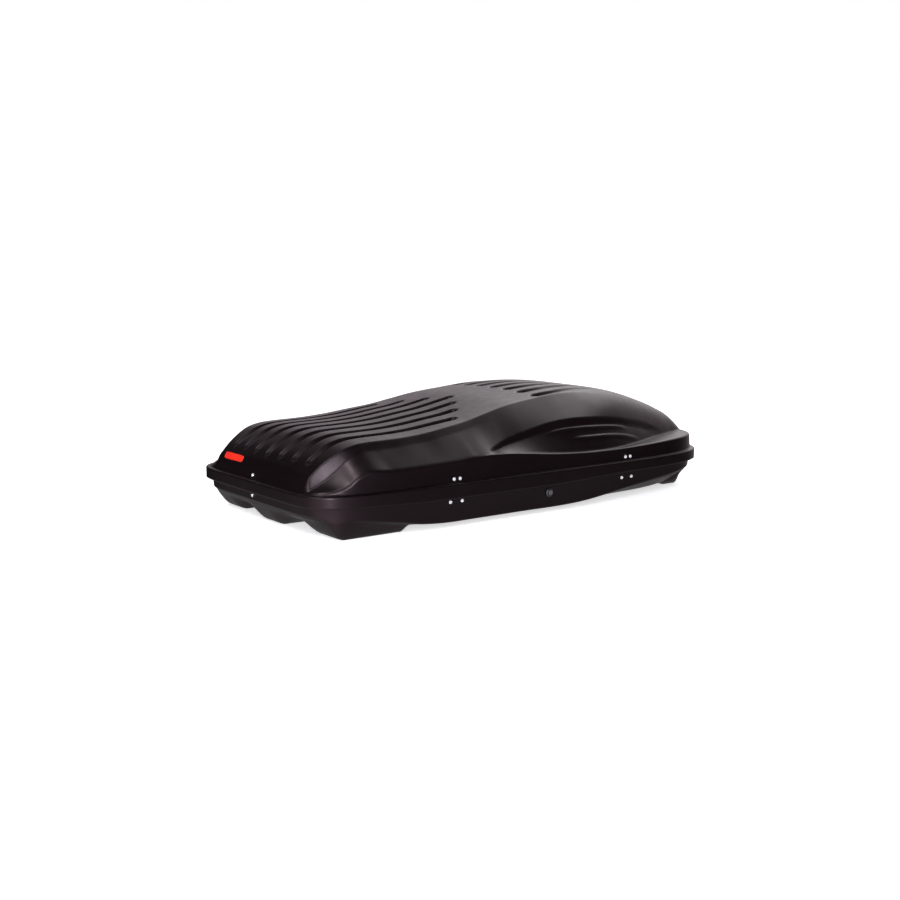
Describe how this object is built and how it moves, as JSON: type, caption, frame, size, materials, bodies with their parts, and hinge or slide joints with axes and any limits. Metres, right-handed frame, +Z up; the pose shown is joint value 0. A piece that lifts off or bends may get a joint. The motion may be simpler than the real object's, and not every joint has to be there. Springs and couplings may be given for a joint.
{
  "type": "roof cargo box",
  "caption": "Hard-shell car roof cargo box: low ribbed nose, domed rear lid hinged along one side, key lock with a sliding lock rod, telescopic lid stays.",
  "frame": {"origin": "centre of the box's footprint, on the plane that the moulded feet stand on", "axes": "+X from nose to tail, -Y the lock side, +Y the hinge side, +Z up"},
  "size_m": [1.8, 0.909, 0.4057],
  "materials": {
    "shell_plastic": "embossed satin black ABS",
    "inner_plastic": "moulded black nylon",
    "red_plastic": "plain red reflector",
    "bright_steel": "nickel plated",
    "zinc_steel": "zinc plated",
    "black_steel": "black powder coat",
    "webbing": "woven polyester"
  },
  "bodies": {
    "base": {"base_shell": "shell_plastic", "base_screw_front_1": "bright_steel", "base_screw_front_2": "bright_steel", "base_screw_rear_1": "bright_steel", "base_screw_rear_2": "bright_steel", "base_screw_nose": "bright_steel", "latch_housing_front": "inner_plastic", "latch_housing_rear": "inner_plastic", "nose_pocket": "inner_plastic", "lock_housing": "inner_plastic", "lock_nut": "zinc_steel", "hinge_base_leaf_front": "black_steel", "hinge_base_leaf_middle": "black_steel", "hinge_base_leaf_rear": "black_steel", "hinge_pin_front": "bright_steel", "hinge_pin_middle": "bright_steel", "hinge_pin_rear": "bright_steel", "stay_base_bracket_front": "zinc_steel", "stay_base_bracket_rear": "zinc_steel", "floor_rail_lock_side": "zinc_steel", "floor_rail_hinge_side": "zinc_steel", "load_strap_front": "webbing", "strap_buckle_front": "inner_plastic", "strap_anchor_front_lock_side": "zinc_steel", "strap_anchor_front_hinge_side": "zinc_steel", "load_strap_rear": "webbing", "strap_buckle_rear": "inner_plastic", "strap_anchor_rear_lock_side": "zinc_steel", "strap_anchor_rear_hinge_side": "zinc_steel"},
    "lid": {"lid_shell": "shell_plastic", "nose_badge": "red_plastic", "lid_screw_front_1": "bright_steel", "lid_screw_front_2": "bright_steel", "lid_screw_rear_1": "bright_steel", "lid_screw_rear_2": "bright_steel", "lid_screw_nose": "bright_steel", "striker_front": "zinc_steel", "striker_rear": "zinc_steel", "nose_tongue": "inner_plastic", "hinge_lid_leaf_front": "black_steel", "hinge_lid_leaf_middle": "black_steel", "hinge_lid_leaf_rear": "black_steel", "stay_lid_bracket_front": "zinc_steel", "stay_lid_bracket_rear": "zinc_steel"},
    "lock_cylinder": {"lock_cylinder": "bright_steel", "lock_cam": "zinc_steel", "cam_screw": "bright_steel"},
    "lock_rod": {"lock_rod": "zinc_steel"},
    "front_stay_tube": {"stay_tube_front": "black_steel"},
    "front_stay_rod": {"stay_rod_front": "bright_steel"},
    "rear_stay_tube": {"stay_tube_rear": "black_steel"},
    "rear_stay_rod": {"stay_rod_rear": "bright_steel"}
  },
  "joints": [
    {"name": "lid_hinge", "type": "hinge", "parent": "base", "child": "lid", "pos_m": [0, 0.443, 0.12], "axis": [-1, 0, 0], "range_deg": [0, 50]},
    {"name": "lock_rod_slide", "type": "slide", "parent": "base", "child": "lock_rod", "axis": [1, 0, 0], "range_m": [0, 0.02]},
    {"name": "lock_turn", "type": "hinge", "parent": "base", "child": "lock_cylinder", "pos_m": [0.023, -0.42, 0.073], "axis": [0, 1, 0], "range_deg": [0, 90.1]},
    {"name": "front_stay_swing", "type": "hinge", "parent": "base", "child": "front_stay_tube", "pos_m": [-0.48, 0.32822, 0.05897], "axis": [-1, 0, 0], "range_deg": [0, 25.1]},
    {"name": "front_stay_extend", "type": "slide", "parent": "front_stay_tube", "child": "front_stay_rod", "axis": [0, 0.2079, 0.9781], "range_m": [0, 0.06872]},
    {"name": "rear_stay_swing", "type": "hinge", "parent": "base", "child": "rear_stay_tube", "pos_m": [0.43, 0.32822, 0.05897], "axis": [-1, 0, 0], "range_deg": [0, 25.1]},
    {"name": "rear_stay_extend", "type": "slide", "parent": "rear_stay_tube", "child": "rear_stay_rod", "axis": [0, 0.2079, 0.9781], "range_m": [0, 0.06872]}
  ],
  "couplings": [
    {"joint": "lock_turn", "follows": "lock_rod_slide", "rad_per_m": 78.54},
    {"joint": "front_stay_swing", "follows": "lid_hinge", "ratio": 0.5},
    {"joint": "front_stay_extend", "follows": "lid_hinge", "m_per_rad": 0.078513},
    {"joint": "rear_stay_swing", "follows": "lid_hinge", "ratio": 0.5},
    {"joint": "rear_stay_extend", "follows": "lid_hinge", "m_per_rad": 0.078513}
  ]
}
